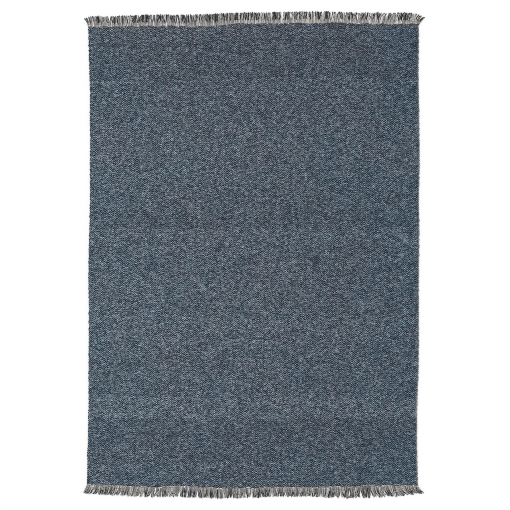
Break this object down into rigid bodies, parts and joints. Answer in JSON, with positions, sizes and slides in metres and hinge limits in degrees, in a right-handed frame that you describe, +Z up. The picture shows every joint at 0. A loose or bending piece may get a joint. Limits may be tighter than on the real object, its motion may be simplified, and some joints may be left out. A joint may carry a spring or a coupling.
{
  "type": "flatweave rug",
  "caption": "Rectangular flatweave rug lying flat, woven in blue and grey zigzag twill, with a short fringe of loose warp ends along both short sides.",
  "frame": {"origin": "on the floor, under the middle of the rug's bounding box", "axes": "+X across the rug's width, +Y along its length towards the picture's top edge, +Z up, out of the rug's face"},
  "size_m": [1.7482, 2.5066, 0.006],
  "materials": {
    "wool_weave": "matte heathered weave of navy, teal, blue-grey and pale grey yarn",
    "warp_ends": "matte undyed yarn in beige and grey, with charcoal and navy ends among it"
  },
  "bodies": {
    "root": {"woven_field": "wool_weave", "far_fringe": "warp_ends", "near_fringe": "warp_ends"}
  },
  "joints": []
}
